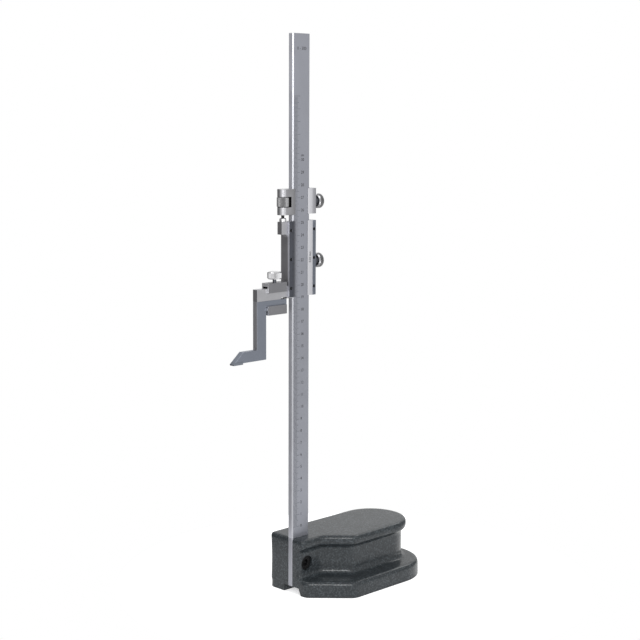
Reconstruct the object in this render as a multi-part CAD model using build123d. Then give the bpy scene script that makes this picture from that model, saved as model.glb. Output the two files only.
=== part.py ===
from build123d import *
import math
import os

# Vernier height gauge, 0-300 mm. Millimetres, +Z up, standing on its datum plane.
# Every piece is drawn from the beam's scale corner: x runs from the base's end face
# along the base, y runs from the beam's scale face to the back, and z is the height
# above the datum plane. save() then moves it so that the origin is the foot's centre.

# ---- driving dimensions ---------------------------------------------------------
# Fits
running_gap = 0.05        # sliding faces, each side
thread_gap = 0.08         # radial gap of a screw in a hole that it turns in
screw_end_chamfer = 0.4
seat_gap = 0.1            # loose flat faces that only guide
cut_over = 1.0            # how far a cut runs past the face that it opens

# Base casting
foot_length = 128.0
foot_width = 72.9
foot_height = 13.4
foot_round = 4.6          # less than the foot's plan corners
foot_end_corner = 5.2
foot_corner = 9.0
foot_nose_reach = 15.8    # near corner of the foot's end face, from the scale face
far_overhang = 28.1       # from the scale face to the far side
base_height = 46.7
head_width = 59.0
head_setback = 5.0        # round end of the head, inside the foot's round end
neck_reach = 12.2         # narrow stretch beside the beam, from the scale face
neck_length = 22.8
flange_thickness = 8.4
flange_round = 2.9        # less than the flange's plan corners
waist_inset = 4.5
waist_far_inset = 1.0
cast_corner = 5.0         # plan corners of the neck and shoulder
skirt_width = 3.2         # slope that joins the waist to the foot
skirt_height = 4.6
end_corner = 3.4          # plan corners of the head at the end face
relief_depth = 5.8
relief_near = 7.5
relief_far = 9.8
relief_length = 44.0
relief_slope = 2.5

# Beam clamp in the near cheek
lock_screw_radius = 6.2
lock_screw_height = 25.7
lock_screw_length = 4.6
lock_socket_radius = 3.0
lock_socket_depth = 2.4
lock_pad_radius = 4.5
lock_pad_thickness = 1.2

# Beam
beam_width = 18.8
beam_thickness = 5.1
beam_top = 454.5
beam_bevel = 0.9
beam_back_bevel = 0.4

# Heights at rest
reading = 198.3           # measuring face above the datum plane
slider_above_face = 48.8  # slider's lower end above the measuring face
fine_gap = 5.3            # between the slider and the fine-adjust carriage

# Slider
slider_height = 60.4
slider_left_wall = 5.45
slider_right_wall = 3.95
slider_back_wall = 2.7
slider_lip = 2.5          # ends of the gib pocket
plate_thickness = 1.95
plate_edge = 0.2          # thin edge of each bevelled plate
left_plate_flat = 4.9
left_plate_lap = 2.7      # over the beam's face
right_plate_flat = 3.6
right_plate_lap = 2.6
plate_screw_pitch = 23.1
plate_screw_inset = 1.95  # from the outer edge of a plate
plate_screw_radius = 0.8
plate_head_radius = 1.3
plate_head_height = 0.9
plate_head_sink = 1.1
plate_screw_length = 5.0
plate_slot_width = 0.4
plate_slot_depth = 0.35
gib_thickness = 0.9
gib_depth = 4.6

# Arm (fixed jaw) and the boss for the fine-adjust screw
arm_thickness = 4.85
arm_height = 9.5
arm_reach = 38.3
arm_step = 0.9            # arm's underside below the slider's lower end
arm_toe_gap = 1.0         # between the step and the beam's clearance
arm_relief_length = 6.1
arm_relief_start = 1.1
arm_relief_height = 1.2
arm_root_radius = 1.2
boss_reach = 6.6
boss_height = 10.1
boss_fillet = 3.0

# Fine adjustment
carriage_height = 20.4
carriage_front = 2.0
carriage_back_wall = 1.75
carriage_side_wall = 1.0
carriage_left_flat = 1.6
carriage_left_lap = 2.6
carriage_right_flat = 3.9
carriage_right_lap = 2.4
carriage_lip_edge = 0.25
feed_axis_x = -8.6
feed_screw_radius = 1.25
feed_screw_foot = 8.0     # length held in the slider's boss
feed_screw_above = 22.4   # length above the slider
feed_hole_roof = 1.0
feed_nut_radius = 4.83
feed_nut_height = 8.0
feed_nut_chamfer = 0.65
feed_nut_teeth = 36
feed_nut_tooth = 0.3
nut_end_gap = 0.15
nut_window_back = 3.3     # wall between the nut's window and the beam
lock_nut_radius = 2.75
lock_nut_height = 2.9
lock_nut_dome = 0.8

# Clamp screws of the slider and the carriage
clamp_knob_radius = 5.85
clamp_knob_width = 4.9
clamp_knob_standoff = 3.75
clamp_knob_chamfer = 0.6
clamp_knob_teeth = 48
clamp_knob_tooth = 0.35
clamp_neck_radius = 3.6
clamp_neck_gap = 0.4
clamp_screw_radius = 1.75
clamp_pad_thickness = 0.9
slider_knob_drop = 2.9    # slider's clamp screw below the slider's middle
carriage_knob_drop = 0.6

# Scriber and its clamp
scriber_thickness = 4.85
scriber_end = 6.6         # bar's free end, from the beam's edge
scriber_bar_height = 4.95
scriber_leg_width = 9.8
scriber_leg_reach = 38.4
scriber_toe_reach = 62.6
scriber_toe_top = 52.7
scriber_foot_height = 8.5
scriber_corner = 1.0
tip_length = 9.6
tip_stand = 1.1           # measuring face below the scriber's underside
tip_seat = 1.2
tip_nose = 1.0
clamp_right = 7.6
clamp_length = 19.9
clamp_front = 1.5
clamp_spine = 1.35
clamp_top_gap = 1.5
clamp_top_wall = 2.7
clamp_lip = 3.5           # front lip over the arm
clamp_bottom_wall = 6.65
clamp_bottom_lip = 0.7
clamp_bottom_notch = 3.9
clamp_land = 0.9
screw_knob_radius = 5.75
screw_knob_height = 5.9
screw_knob_lift = 2.7
screw_knob_chamfer = 0.8
screw_knob_teeth = 40
screw_knob_tooth = 0.3
screw_stem_radius = 1.5
shoe_radius = 2.3
shoe_thickness = 0.7

# ---- places worked out from the sizes -------------------------------------------
slider_z = reading + slider_above_face
slider_top = slider_z + slider_height
carriage_z = slider_top + fine_gap
carriage_top = carriage_z + carriage_height
channel_left = -running_gap
channel_right = beam_width + running_gap
pocket_right = channel_right + gib_thickness + running_gap
channel_back = beam_thickness + running_gap
slider_left = channel_left - slider_left_wall
slider_right = pocket_right + slider_right_wall
slider_back = channel_back + slider_back_wall
arm_bottom = slider_z - arm_step
arm_top = arm_bottom + arm_height
feed_axis_y = arm_thickness / 2
beam_middle_y = beam_thickness / 2
slider_knob_z = slider_z + slider_height / 2 - slider_knob_drop
carriage_knob_z = carriage_z + carriage_height / 2 - carriage_knob_drop
bar_top = arm_bottom - running_gap
bar_bottom = bar_top - scriber_bar_height
scriber_bottom = reading + tip_stand
frame_shift = Location((-foot_length / 2, foot_width / 2 - far_overhang, 0))

os.makedirs("parts", exist_ok=True)


def save(shape, node):
    """Move one node's solids to the part's frame and write them."""
    export_step(frame_shift * shape, f"parts/{node}.step")


def block(x0, x1, y0, y1, z0, z1):
    """A box between two corners."""
    corner = (Align.MIN, Align.MIN, Align.MIN)
    return Pos(x0, y0, z0) * Box(x1 - x0, y1 - y0, z1 - z0, align=corner)


def rod_z(x, y, z0, z1, radius):
    """A round bar along Z."""
    foot = (Align.CENTER, Align.CENTER, Align.MIN)
    return Pos(x, y, z0) * Cylinder(radius, z1 - z0, align=foot)


def rod_x(x0, x1, y, z, radius):
    """A round bar along X."""
    return Pos(x0, y, z) * Rot(0, 90, 0) * rod_z(0, 0, 0, x1 - x0, radius)


def rod_y(x, y0, y1, z, radius):
    """A round bar along Y."""
    return Pos(x, y0, z) * Rot(-90, 0, 0) * rod_z(0, 0, 0, y1 - y0, radius)


def prism_z(points, z0, z1):
    """A polygon in plan, raised from z0 to z1."""
    return Pos(0, 0, z0) * extrude(make_face(Polyline(*points, close=True)), z1 - z0)


def prism_y(points, y0, y1):
    """A polygon of (x, z) points, drawn from y0 to y1."""
    face = make_face(Polyline(*[(x, y0, z) for x, z in points], close=True))
    return extrude(face, amount=y1 - y0, dir=(0, 1, 0))


def prism_x(points, x0, x1):
    """A polygon of (y, z) points, drawn from x0 to x1."""
    face = make_face(Polyline(*[(x0, y, z) for y, z in points], close=True))
    return extrude(face, amount=x1 - x0, dir=(1, 0, 0))


def knurled_disc(radius, width, chamfer_size, teeth, tooth):
    """A disc about Z with straight knurling and chamfered rims, from z = 0."""
    step = math.pi / teeth
    rim = [
        ((radius - tooth * (i % 2)) * math.cos(i * step), (radius - tooth * (i % 2)) * math.sin(i * step))
        for i in range(2 * teeth)
    ]
    blank = chamfer(rod_z(0, 0, 0, width, radius).edges().filter_by(GeomType.CIRCLE), chamfer_size)
    return prism_z(rim, 0, width) & blank


# ---- base -----------------------------------------------------------------------
def head_plan(near_inset, far_inset):
    """Plan of the casting above the foot, held inside the flange's edge."""
    near = far_overhang - head_width + near_inset
    far = far_overhang - far_inset
    neck = -neck_reach + near_inset
    radius = (far - near) / 2
    centre_x = foot_length - head_setback - head_width / 2
    bend = neck_length + near_inset * math.tan(math.radians(22.5))
    return rounded_plan(near, far, neck, radius, centre_x, bend)


def rounded_plan(near, far, neck, radius, centre_x, bend):
    """End face, narrow neck, 45 degree shoulder, wide stretch and round end."""
    corners = [(0, far), (0, neck), (bend, neck), (bend + neck - near, near), (centre_x, near)]
    outline = Curve() + [
        Polyline(*corners),
        Line((centre_x, far), (0, far)),
        ThreePointArc((centre_x, near), (centre_x + radius, (near + far) / 2), (centre_x, far)),
    ]
    plan = make_face(outline)
    for spot, size in zip(corners[:4], (end_corner, end_corner, cast_corner, cast_corner)):
        corner = plan.vertices().sort_by_distance((spot[0], spot[1], 0))[0]
        plan = fillet(corner, size)
    return plan


def foot_plan():
    """Plan of the foot: one 45 degree corner beside the end face and a round end."""
    near = far_overhang - foot_width
    radius = foot_width / 2
    centre_x = foot_length - radius
    shoulder = (-near - foot_nose_reach, near)
    corners = [(0, far_overhang), (0, -foot_nose_reach), shoulder, (centre_x, near)]
    outline = Curve() + [
        Polyline(*corners),
        Line((centre_x, far_overhang), (0, far_overhang)),
        ThreePointArc((centre_x, near), (foot_length, near + radius), (centre_x, far_overhang)),
    ]
    plan = make_face(outline)
    for spot, size in zip(corners[:3], (foot_end_corner, foot_end_corner, foot_corner)):
        corner = plan.vertices().sort_by_distance((spot[0], spot[1], 0))[0]
        plan = fillet(corner, size)
    return plan


def base_casting():
    """Foot, waist and flange, with the beam's slot and the relief under it."""
    foot = extrude(foot_plan(), foot_height)
    foot = fillet(foot.edges().group_by(Axis.Z)[-1], foot_round)
    flange = Pos(0, 0, base_height - flange_thickness) * extrude(head_plan(0, 0), flange_thickness)
    levels = flange.edges().group_by(Axis.Z)
    flange = fillet(levels[-1] + levels[0], flange_round)
    waist = Pos(0, 0, foot_height / 2) * extrude(
        head_plan(waist_inset, waist_far_inset), base_height - foot_height / 2 - flange_thickness / 2
    )
    skirt_plan = head_plan(waist_inset - skirt_width, waist_far_inset + skirt_width)
    skirt_slope = math.degrees(math.atan2(skirt_width, skirt_height))
    skirt = Pos(0, 0, foot_height) * extrude(skirt_plan, skirt_height, taper=skirt_slope)
    body = foot + waist + skirt + flange
    slot = block(-cut_over, beam_width, 0, beam_thickness, -cut_over, base_height + cut_over)
    relief = prism_x(
        [(-relief_near - relief_slope, -cut_over), (-relief_near - relief_slope, 0),
         (-relief_near, relief_depth), (relief_far, relief_depth), (relief_far, -cut_over)],
        -cut_over, relief_length,
    )
    screw_hole = rod_y(beam_width / 2, -2 * neck_reach, 0, lock_screw_height, lock_screw_radius)
    return body - slot - relief - screw_hole


def lock_screw():
    """Socket set screw that holds the beam in the base."""
    front = -lock_pad_thickness - lock_screw_length
    screw = rod_y(beam_width / 2, front, -lock_pad_thickness, lock_screw_height, lock_screw_radius)
    screw = chamfer(screw.edges().filter_by(GeomType.CIRCLE), screw_end_chamfer)
    hexagon = extrude(RegularPolygon(lock_socket_radius, 6), lock_socket_depth)
    return screw - Pos(beam_width / 2, front, lock_screw_height) * Rot(-90, 0, 0) * hexagon


def lock_pad():
    """Soft disc between the set screw and the beam's face."""
    return rod_y(beam_width / 2, -lock_pad_thickness, 0, lock_screw_height, lock_pad_radius)


def beam():
    """Main scale bar, bevelled along its edges."""
    bar = block(0, beam_width, 0, beam_thickness, relief_depth, beam_top)
    upright = bar.edges().filter_by(Axis.Z)
    bar = chamfer(upright.group_by(Axis.Y)[0], beam_bevel)
    return chamfer(bar.edges().filter_by(Axis.Z).group_by(Axis.Y)[-1], beam_back_bevel)


# ---- slider ---------------------------------------------------------------------
def clamp_hole(x0, x1, z):
    """Hole for a clamp screw through a right-hand wall."""
    return rod_x(x0, x1, beam_middle_y, z, clamp_screw_radius + thread_gap)


def slider_frame():
    """Channel round the beam, with the measuring arm and the feed screw's boss."""
    front = -running_gap
    frame = block(slider_left, slider_right, front, slider_back, slider_z, slider_top)
    under_boss = slider_top - boss_height
    boss = block(slider_left - boss_reach, slider_left, 0, arm_thickness, under_boss, slider_top)
    arm = block(-arm_reach, slider_left, 0, arm_thickness, arm_bottom, arm_top)
    hollow_x = slider_left - boss_fillet
    hollow_z = under_boss - boss_fillet
    gusset = block(hollow_x, slider_left, 0, arm_thickness, hollow_z, under_boss)
    gusset -= rod_y(hollow_x, 0, arm_thickness, hollow_z, boss_fillet)
    hollow_x = slider_left - arm_root_radius
    hollow_z = arm_top + arm_root_radius
    root = block(hollow_x, slider_left, 0, arm_thickness, arm_top, hollow_z)
    root -= rod_y(hollow_x, 0, arm_thickness, hollow_z, arm_root_radius)
    toe = block(slider_left, channel_left - arm_toe_gap, 0, arm_thickness, arm_bottom, slider_z)
    frame = frame + boss + arm + gusset + root + toe
    channel = block(channel_left, channel_right, -cut_over, channel_back, slider_z - cut_over,
                    slider_top + cut_over)
    pocket = block(channel_right - cut_over, pocket_right, front - cut_over, channel_back,
                   slider_z + slider_lip, slider_top - slider_lip)
    relief_left = -arm_relief_start - slider_left_wall - arm_relief_length
    relief = block(relief_left, relief_left + arm_relief_length, -cut_over, arm_thickness + cut_over,
                   arm_bottom - cut_over, arm_bottom + arm_relief_height)
    feed_hole = rod_z(feed_axis_x, feed_axis_y, slider_top - feed_screw_foot, slider_top + cut_over,
                      feed_screw_radius)
    frame = frame - channel - pocket - relief - feed_hole
    frame -= clamp_hole(pocket_right - cut_over, slider_right + cut_over, slider_knob_z)
    for x in (slider_left + plate_screw_inset, slider_right - plate_screw_inset):
        for z in plate_screw_heights():
            frame -= rod_y(x, front - cut_over, plate_screw_depth(), z, plate_screw_radius)
    return frame


def plate_screw_heights():
    """Heights of the three screws that hold each plate."""
    middle = slider_z + slider_height / 2
    return [middle + i * plate_screw_pitch for i in (-1, 0, 1)]


def plate_screw_depth():
    """How far back from the scale face a plate screw's end lies."""
    return -running_gap - plate_thickness + plate_head_sink + plate_screw_length - plate_head_height


def bevelled_plate(outer, flat_end, inner):
    """Plate on the slider's front, flat outside and bevelled down to the beam."""
    back = -running_gap
    front = back - plate_thickness
    plate = prism_z(
        [(outer, back), (outer, front), (flat_end, front), (inner, back - plate_edge), (inner, back)],
        slider_z, slider_top,
    )
    side = 1 if inner > outer else -1
    x = outer + side * plate_screw_inset
    for z in plate_screw_heights():
        plate -= rod_y(x, front - cut_over, back + cut_over, z, plate_screw_radius)
        plate -= rod_y(x, front - cut_over, front + plate_head_sink, z, plate_head_radius)
    return plate


def plate_screws(x):
    """Three slotted screws, sunk in one plate."""
    seat = -running_gap - plate_thickness + plate_head_sink
    screws = []
    for z in plate_screw_heights():
        screw = rod_y(x, seat - plate_head_height, seat, z, plate_head_radius)
        screw += rod_y(x, seat, plate_screw_depth(), z, plate_screw_radius)
        top = seat - plate_head_height
        slot = block(x - plate_head_radius, x + plate_head_radius, top - cut_over, top + plate_slot_depth,
                     z - plate_slot_width / 2, z + plate_slot_width / 2)
        screws.append(screw - slot)
    return Compound(children=screws)


def gib(z0, z1):
    """Strip between the beam's edge and the clamp screw's pad."""
    left = channel_right
    back = beam_middle_y + gib_depth / 2
    return block(left, left + gib_thickness, back - gib_depth, back, z0, z1)


def clamp_pad(z):
    """Soft button between a gib and a clamp screw."""
    left = channel_right + gib_thickness
    return rod_x(left, left + clamp_pad_thickness, beam_middle_y, z, clamp_screw_radius)


def clamp_knob(z, wall):
    """Knurled thumb screw about X, its tip just clear of its pad."""
    tip = channel_right + gib_thickness + clamp_pad_thickness + running_gap
    knob_left = wall + clamp_knob_standoff
    disc = knurled_disc(clamp_knob_radius, clamp_knob_width, clamp_knob_chamfer, clamp_knob_teeth,
                        clamp_knob_tooth)
    screw = Pos(knob_left, beam_middle_y, z) * Rot(0, 90, 0) * disc
    screw += rod_x(wall + clamp_neck_gap, knob_left, beam_middle_y, z, clamp_neck_radius)
    return screw + rod_x(tip, knob_left, beam_middle_y, z, clamp_screw_radius)


# ---- fine adjustment ------------------------------------------------------------
def carriage_frame():
    """Clamped block above the slider that carries the feed nut."""
    radius = feed_axis_y + carriage_front
    back = channel_back + carriage_back_wall
    body = block(feed_axis_x, slider_right, -carriage_front, back, carriage_z, carriage_top)
    body += rod_z(feed_axis_x, feed_axis_y, carriage_z, carriage_top, radius)
    cut_low = carriage_z - cut_over
    cut_high = carriage_top + cut_over
    body -= block(feed_axis_x, channel_left - carriage_side_wall, feed_axis_y + radius, back + cut_over,
                  cut_low, cut_high)
    channel = block(channel_left, channel_right, -running_gap, channel_back, cut_low, cut_high)
    pocket = block(channel_right - cut_over, pocket_right, -running_gap, channel_back,
                   carriage_z + slider_lip, carriage_top - slider_lip)
    lip = -running_gap - carriage_lip_edge
    outer = -carriage_front - cut_over
    right_lap = beam_width - carriage_right_lap
    right_flat = slider_right - carriage_right_flat
    sight = prism_z(
        [(-carriage_left_flat, outer), (-carriage_left_flat, -carriage_front), (carriage_left_lap, lip),
         (carriage_left_lap, 0), (right_lap, 0), (right_lap, lip), (right_flat, -carriage_front),
         (right_flat, outer)],
        cut_low, cut_high,
    )
    window = block(feed_axis_x - 2 * radius, -nut_window_back, -2 * radius, 2 * back,
                   nut_bottom() - nut_end_gap, nut_bottom() + feed_nut_height + nut_end_gap)
    feed_hole = rod_z(feed_axis_x, feed_axis_y, cut_low, carriage_top - feed_hole_roof,
                      feed_screw_radius + thread_gap)
    body = body - channel - pocket - sight - window - feed_hole
    return body - clamp_hole(pocket_right - cut_over, slider_right + cut_over, carriage_knob_z)


def nut_bottom():
    """Lower face of the feed nut, in the middle of the carriage."""
    return carriage_z + (carriage_height - feed_nut_height) / 2


def feed_nut():
    """Knurled nut that turns in the carriage's window."""
    nut = knurled_disc(feed_nut_radius, feed_nut_height, feed_nut_chamfer, feed_nut_teeth, feed_nut_tooth)
    nut -= rod_z(0, 0, -cut_over, feed_nut_height + cut_over, feed_screw_radius + thread_gap)
    return Pos(feed_axis_x, feed_axis_y, nut_bottom()) * nut


def feed_screw():
    """Screw fixed in the slider's boss."""
    foot = slider_top - feed_screw_foot
    screw = rod_z(feed_axis_x, feed_axis_y, foot, slider_top + feed_screw_above, feed_screw_radius)
    return chamfer(screw.edges().group_by(Axis.Z)[-1], screw_end_chamfer)


def lock_nut():
    """Round nut that locks the feed screw on the boss."""
    nut = rod_z(feed_axis_x, feed_axis_y, slider_top, slider_top + lock_nut_height, lock_nut_radius)
    nut = fillet(nut.edges().group_by(Axis.Z)[-1], lock_nut_dome)
    return nut - rod_z(feed_axis_x, feed_axis_y, slider_top - cut_over,
                       slider_top + lock_nut_height + cut_over, feed_screw_radius)


# ---- scriber --------------------------------------------------------------------
def scriber():
    """Stepped scriber: bar under the arm, leg, and foot with a chisel nose."""
    leg_left = -scriber_leg_reach
    leg_right = leg_left + scriber_leg_width
    foot_top = scriber_bottom + scriber_foot_height
    body = prism_y(
        [(-scriber_end, bar_bottom), (-scriber_end, bar_top), (leg_left, bar_top), (leg_left, foot_top),
         (-scriber_toe_top, foot_top), (-scriber_toe_reach, scriber_bottom), (leg_right, scriber_bottom),
         (leg_right, bar_bottom)],
        0, scriber_thickness,
    )
    body -= tip_block(tip_seat)
    corner = body.edges().filter_by(Axis.Y).sort_by_distance((leg_right, 0, bar_bottom))[0]
    return fillet(corner, scriber_corner)


def tip_block(rise):
    """Space from the measuring face up to a seat in the scriber's nose."""
    top = scriber_bottom + rise
    left = -scriber_toe_reach
    return block(left - cut_over, left + tip_length, -cut_over, scriber_thickness + cut_over,
                 reading - cut_over, top)


def scriber_tip():
    """Hard measuring tip, seated under the scriber's nose."""
    left = -scriber_toe_reach
    right = left + tip_length
    top = scriber_bottom + tip_seat
    nose_slope = (scriber_toe_reach - scriber_toe_top) / scriber_foot_height
    return prism_y(
        [(left, reading), (left, reading + tip_nose), (left + tip_seat * nose_slope, top), (right, top),
         (right, reading)],
        0, scriber_thickness,
    )


def scriber_clamp():
    """Open frame that hooks over the arm and under the scriber's bar."""
    right = -clamp_right
    left = right - clamp_length
    inner_back = arm_thickness + seat_gap
    back = inner_back + clamp_spine
    lip_back = -seat_gap
    ceiling = arm_top + clamp_top_gap
    floor = bar_bottom - running_gap
    bottom = floor - clamp_bottom_wall
    top = ceiling + clamp_top_wall
    lower_lip = floor + clamp_bottom_lip
    upper_lip = arm_top - clamp_lip
    frame = prism_x(
        [(-clamp_front, top), (back, top), (back, bottom), (-clamp_front, bottom),
         (-clamp_front, lower_lip), (lip_back, lower_lip), (lip_back, floor), (inner_back, floor),
         (inner_back, ceiling), (lip_back, ceiling), (lip_back, upper_lip), (-clamp_front, upper_lip)],
        left, right,
    )
    land = left - clamp_land
    corner = scriber_corner + seat_gap
    frame += prism_y(
        [(left, bottom + clamp_bottom_notch), (land, bottom + clamp_bottom_notch), (land, floor - corner),
         (land + corner, floor), (left + corner, floor)],
        -clamp_front, back,
    )
    return frame - rod_z((left + right) / 2, arm_thickness / 2, ceiling - cut_over, top + cut_over,
                         screw_stem_radius + thread_gap)


def scriber_screw():
    """Knurled screw that closes the scriber's clamp."""
    x = -clamp_right - clamp_length / 2
    y = arm_thickness / 2
    shoe_top = arm_top + running_gap + shoe_thickness
    knob_z = arm_top + clamp_top_gap + clamp_top_wall + screw_knob_lift
    knob = knurled_disc(screw_knob_radius, screw_knob_height, screw_knob_chamfer, screw_knob_teeth,
                        screw_knob_tooth)
    return Pos(x, y, knob_z) * knob + rod_z(x, y, shoe_top + running_gap, knob_z, screw_stem_radius)


def clamp_shoe():
    """Disc between the clamp screw's end and the arm."""
    x = -clamp_right - clamp_length / 2
    foot = arm_top + running_gap
    return rod_z(x, arm_thickness / 2, foot, foot + shoe_thickness, shoe_radius)


# ---- nodes ----------------------------------------------------------------------
nodes = {
    "base_casting": base_casting(),
    "beam_lock_screw": lock_screw(),
    "beam_lock_pad": lock_pad(),
    "beam": beam(),
    "slider_frame": slider_frame(),
    "vernier_plate": bevelled_plate(slider_left, slider_left + left_plate_flat, left_plate_lap),
    "cover_plate": bevelled_plate(
        slider_right, slider_right - right_plate_flat, beam_width - right_plate_lap
    ),
    "vernier_plate_screws": plate_screws(slider_left + plate_screw_inset),
    "cover_plate_screws": plate_screws(slider_right - plate_screw_inset),
    "slider_gib": gib(slider_z + slider_lip + running_gap, slider_top - slider_lip - running_gap),
    "slider_clamp_pad": clamp_pad(slider_knob_z),
    "slider_clamp_knob": clamp_knob(slider_knob_z, slider_right),
    "feed_screw": feed_screw(),
    "feed_lock_nut": lock_nut(),
    "carriage_frame": carriage_frame(),
    "carriage_gib": gib(carriage_z + slider_lip + running_gap, carriage_top - slider_lip - running_gap),
    "carriage_clamp_pad": clamp_pad(carriage_knob_z),
    "carriage_clamp_knob": clamp_knob(carriage_knob_z, slider_right),
    "feed_nut": feed_nut(),
    "scriber_clamp": scriber_clamp(),
    "scriber_clamp_screw": scriber_screw(),
    "scriber_clamp_shoe": clamp_shoe(),
    "scriber": scriber(),
    "scriber_tip": scriber_tip(),
}
for node, shape in nodes.items():
    save(shape, node)
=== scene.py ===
# %% [markdown]
# # A vernier height gauge, finished in Blender
# A height gauge is a steel scale that stands in a heavy cast foot. A slider runs up and
# down the scale and carries a scriber, which marks or measures heights above a surface
# plate. The working model is already made and sits in the frame. What is left is how it
# looks: the painted casting, ground steel, black graduations and knurled thumb screws.

# %% Load the frame
import math

import bmesh
import bpy
from mathutils import Matrix, Vector, noise


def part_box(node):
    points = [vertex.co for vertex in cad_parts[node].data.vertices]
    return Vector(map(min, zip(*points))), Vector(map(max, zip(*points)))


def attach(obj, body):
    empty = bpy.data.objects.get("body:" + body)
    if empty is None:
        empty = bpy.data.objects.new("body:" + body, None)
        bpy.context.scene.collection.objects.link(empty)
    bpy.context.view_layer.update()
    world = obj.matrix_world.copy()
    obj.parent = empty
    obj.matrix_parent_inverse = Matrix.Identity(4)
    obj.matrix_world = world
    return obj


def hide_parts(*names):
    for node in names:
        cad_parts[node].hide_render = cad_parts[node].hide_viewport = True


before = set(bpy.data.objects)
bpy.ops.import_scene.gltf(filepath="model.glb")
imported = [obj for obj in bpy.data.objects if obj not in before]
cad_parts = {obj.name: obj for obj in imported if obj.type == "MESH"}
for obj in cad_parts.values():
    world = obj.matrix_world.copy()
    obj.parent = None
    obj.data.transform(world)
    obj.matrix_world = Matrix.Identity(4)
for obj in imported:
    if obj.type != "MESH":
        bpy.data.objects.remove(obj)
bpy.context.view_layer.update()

# %% [markdown]
# ## One corner to measure from
# A toolmaker measures everything from one datum. Here it is the corner where the scale's
# graduated face meets its narrow left edge, on the level of the surface plate. Pieces are
# drawn in millimetres from that corner, and one matrix takes them into the frame, which
# is in metres. That keeps every number readable, and nothing is placed by eye.

# %% The datum corner and the matrix into the frame
MM = 0.001
beam_low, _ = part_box("beam")
corner = Vector((beam_low.x, beam_low.y, 0))
to_frame = Matrix.Translation(corner) @ Matrix.Scale(MM, 4)


def box_mm(node):
    """Lowest and highest corner of a node, in millimetres from the datum corner."""
    low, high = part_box(node)
    return (low - corner) / MM, (high - corner) / MM


beam_box = box_mm("beam")
print("beam from", [round(v, 2) for v in beam_box[0]], "to", [round(v, 2) for v in beam_box[1]])

# %% [markdown]
# ## The camera
# A long lens about 1.2 m away keeps the tall scale almost parallel. The camera stands at
# the gauge's front left corner, a little above the slider, and looks slightly down. Its
# turn is built from three plain rotations: heading, pitch and a trace of roll.

# %% Camera
camera_place = Vector((-0.8393, -0.8111, 0.3953))
camera_heading = 45.471   # degrees from +X towards +Y
camera_pitch = 8.421      # degrees below level
camera_roll = 0.246
sensor_width = 36         # millimetres, as the lens
lens_length = 79.92
camera_data = bpy.data.cameras.new("camera")
camera_data.sensor_width = sensor_width
camera_data.lens = lens_length
camera_data.clip_start = 0.05
camera = bpy.data.objects.new("camera", camera_data)
bpy.context.scene.collection.objects.link(camera)
heading = Matrix.Rotation(math.radians(camera_heading - 90), 4, "Z")
tilt = Matrix.Rotation(math.radians(90 - camera_pitch), 4, "X")
roll = Matrix.Rotation(math.radians(camera_roll), 4, "Z")
camera.matrix_world = Matrix.Translation(camera_place) @ heading @ tilt @ roll
bpy.context.scene.camera = camera
bpy.context.scene.view_settings.view_transform = "Standard"
print("camera is", round((camera_place - corner).length, 3), "m from the datum corner")

# %% [markdown]
# ## The studio
# Polished steel has hardly a colour of its own: it shows the room. So the room is drawn
# with care. Behind the gauge is a white backdrop, the room in front is as bright, and the
# walls to the left and right are greyer. That gives each ground face its own tone, which
# is how the eye tells a flat from a bevel. The world holds the walls, as soft lobes of
# light round a few directions. Four area lamps do what the lamps of a product studio do:
# a soft box over the camera, one to the side, one above, and one behind for the thin
# light along the edges. The pale floor is a small disc, which keeps the shadow.

# %% Helpers for node trees
white = (1.0, 1.0, 1.0, 1.0)


def add_node(tree, kind, **settings):
    """A node of one kind, with its properties and the values of its inputs."""
    node = tree.nodes.new(kind)
    for key, value in settings.items():
        if key in node.bl_rna.properties:
            setattr(node, key, value)
        else:
            node.inputs[key].default_value = value
    return node


def link(tree, source, target):
    """Join an output socket to an input socket."""
    tree.links.new(source, target)


def calculate(tree, operation, *values):
    """The result of a Math node. Each value is a socket or a number."""
    node = add_node(tree, "ShaderNodeMath", operation=operation)
    for value, socket in zip(values, node.inputs):
        if isinstance(value, bpy.types.NodeSocket):
            link(tree, value, socket)
        else:
            socket.default_value = value
    return node.outputs["Value"]


def remap(tree, value, start, end, low=0.0, high=1.0, way="SMOOTHSTEP"):
    """A value taken from one range, start to end, into another, low to high."""
    node = add_node(tree, "ShaderNodeMapRange", interpolation_type=way)
    link(tree, value, node.inputs["Value"])
    for label, number in (("From Min", start), ("From Max", end), ("To Min", low), ("To Max", high)):
        node.inputs[label].default_value = number
    return node.outputs["Result"]


# %% World: walls, backdrop and sky
world = bpy.data.worlds.new("studio")
bpy.context.scene.world = world
world.use_nodes = True
sky = world.node_tree
sky.nodes.clear()
wall_level = 0.20
lobes = [
    # name, direction, brightness added, and the cosines of its outer and inner angle
    ("backdrop", (0.70, 0.71, 0.15), 0.80, 0.82, 0.94),
    ("front", (-0.60, -0.80, 0.10), 0.80, 0.26, 0.92),
    ("left wall", (-0.97, -0.20, 0.10), 0.20, 0.60, 0.95),
    ("right wall", (0.64, -0.77, 0.05), 0.40, 0.45, 0.95),
    ("ceiling", (0.0, 0.0, 1.0), 0.50, 0.10, 0.90),
    ("floor beyond", (0.0, 0.0, -1.0), 0.35, 0.05, 0.80),
]
direction = add_node(sky, "ShaderNodeTexCoord").outputs["Generated"]
level = wall_level
for name, towards, added, outer, inner in lobes:
    facing = add_node(sky, "ShaderNodeVectorMath", operation="DOT_PRODUCT", label=name)
    link(sky, direction, facing.inputs[0])
    facing.inputs[1].default_value = Vector(towards).normalized()
    lobe = remap(sky, facing.outputs["Value"], outer, inner, high=added)
    level = calculate(sky, "ADD", lobe, level)
    if name == "backdrop":
        backdrop_side = calculate(sky, "DIVIDE", lobe, added)

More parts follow.
